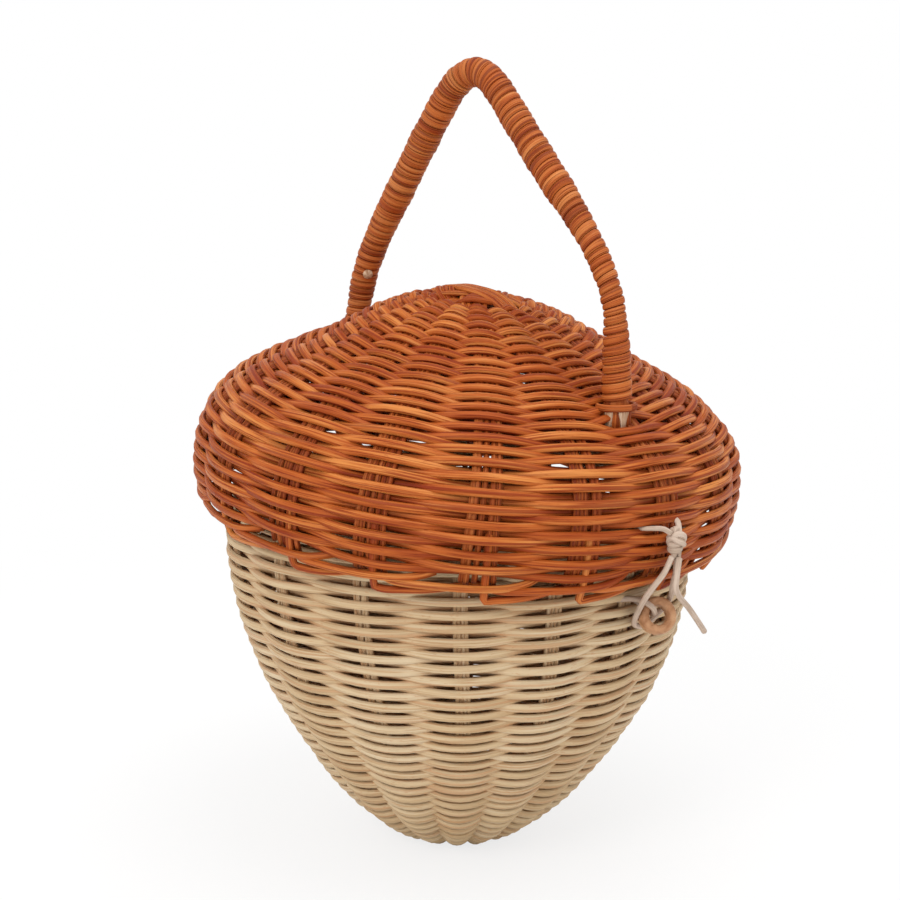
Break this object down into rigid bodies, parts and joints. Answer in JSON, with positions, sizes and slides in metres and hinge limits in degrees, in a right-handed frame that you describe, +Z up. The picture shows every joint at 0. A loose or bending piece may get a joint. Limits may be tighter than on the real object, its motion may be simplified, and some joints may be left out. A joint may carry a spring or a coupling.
{
  "type": "lidded woven basket",
  "caption": "Mushroom-shaped rattan basket with a hinged domed lid, a cane-wound arched handle, and a cord loop that hooks over a wooden bead.",
  "frame": {"origin": "middle of the base, on the surface the basket stands on", "axes": "+Z up along the basket's axis; -Y to the front, where the clasp and the handle's front foot are; +X to the right when looking at the front"},
  "size_m": [0.2058, 0.2173, 0.3022],
  "materials": {
    "stained_rattan": "orange-brown stain, matte",
    "natural_rattan": "unfinished, matte",
    "cane": "stained, satin",
    "peg_wood": "unfinished, matte",
    "bead_wood": "turned, satin",
    "cord": "twisted cotton, matte"
  },
  "bodies": {
    "basket_body": {"bead_tie": "cord", "body_stake_1": "natural_rattan", "body_stake_2": "natural_rattan", "body_stake_3": "natural_rattan", "body_stake_4": "natural_rattan", "body_stake_5": "natural_rattan", "body_stake_6": "natural_rattan", "body_stake_7": "natural_rattan", "body_stake_8": "natural_rattan", "body_weaver_centre_a": "natural_rattan", "body_weaver_centre_b": "natural_rattan", "body_weaver_inner_a": "natural_rattan", "body_weaver_inner_b": "natural_rattan", "body_weaver_middle_a": "natural_rattan", "body_weaver_middle_b": "natural_rattan", "body_weaver_rim_a": "natural_rattan", "body_weaver_rim_b": "natural_rattan", "hinge_tie_left": "cane", "hinge_tie_right": "cane"},
    "lid": {"clasp_knot": "cord", "clasp_lash": "cord", "clasp_loop": "cord", "clasp_tail": "cord", "handle_core": "cane", "handle_peg": "peg_wood", "handle_wrap_foot": "cane", "handle_wrap_main": "cane", "lid_stake_1": "stained_rattan", "lid_stake_2": "stained_rattan", "lid_stake_3": "stained_rattan", "lid_stake_4": "stained_rattan", "lid_stake_5": "stained_rattan", "lid_stake_6": "stained_rattan", "lid_stake_7": "stained_rattan", "lid_stake_8": "stained_rattan", "lid_stake_9": "stained_rattan", "lid_weaver_centre_a": "stained_rattan", "lid_weaver_centre_b": "stained_rattan", "lid_weaver_inner_a": "stained_rattan", "lid_weaver_inner_b": "stained_rattan", "lid_weaver_middle_a": "stained_rattan", "lid_weaver_middle_b": "stained_rattan", "lid_weaver_rim_a": "stained_rattan", "lid_weaver_rim_b": "stained_rattan"},
    "bead": {"bead": "bead_wood"}
  },
  "joints": [
    {"name": "lid_hinge", "type": "hinge", "parent": "basket_body", "child": "lid", "pos_m": [0, 0.09698, 0.13926], "axis": [-1, 0, 0], "range_deg": [0, 150], "deforming": ["clasp_loop"]},
    {"name": "bead_tilt", "type": "hinge", "parent": "basket_body", "child": "bead", "pos_m": [0.00115, -0.0984, 0.11045], "axis": [-0.7071, 0, -0.7071], "range_deg": [0, 50]}
  ]
}
